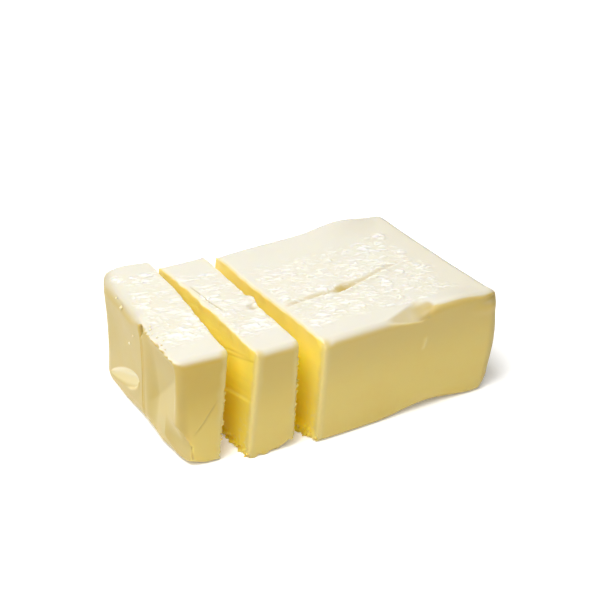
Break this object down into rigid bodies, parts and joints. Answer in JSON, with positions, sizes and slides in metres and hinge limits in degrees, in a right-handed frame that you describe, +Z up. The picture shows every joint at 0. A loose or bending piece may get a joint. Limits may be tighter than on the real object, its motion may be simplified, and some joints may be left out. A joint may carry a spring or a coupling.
{
  "type": "block of margarine",
  "caption": "Unwrapped rectangular block of pale yellow margarine with slices cut from one end, still standing in line with the rest.",
  "frame": {"origin": "middle of the footprint of all pieces, on the table", "axes": "+X along the block from the sliced end to the uncut end, +Y from front to back, +Z up"},
  "size_m": [0.1164, 0.079, 0.0384],
  "materials": {
    "margarine": "smooth pale yellow fat, satin where cut, moist and glossy on the top face"
  },
  "bodies": {
    "root": {"block": "margarine", "inner_slice": "margarine", "end_slice": "margarine"}
  },
  "joints": []
}
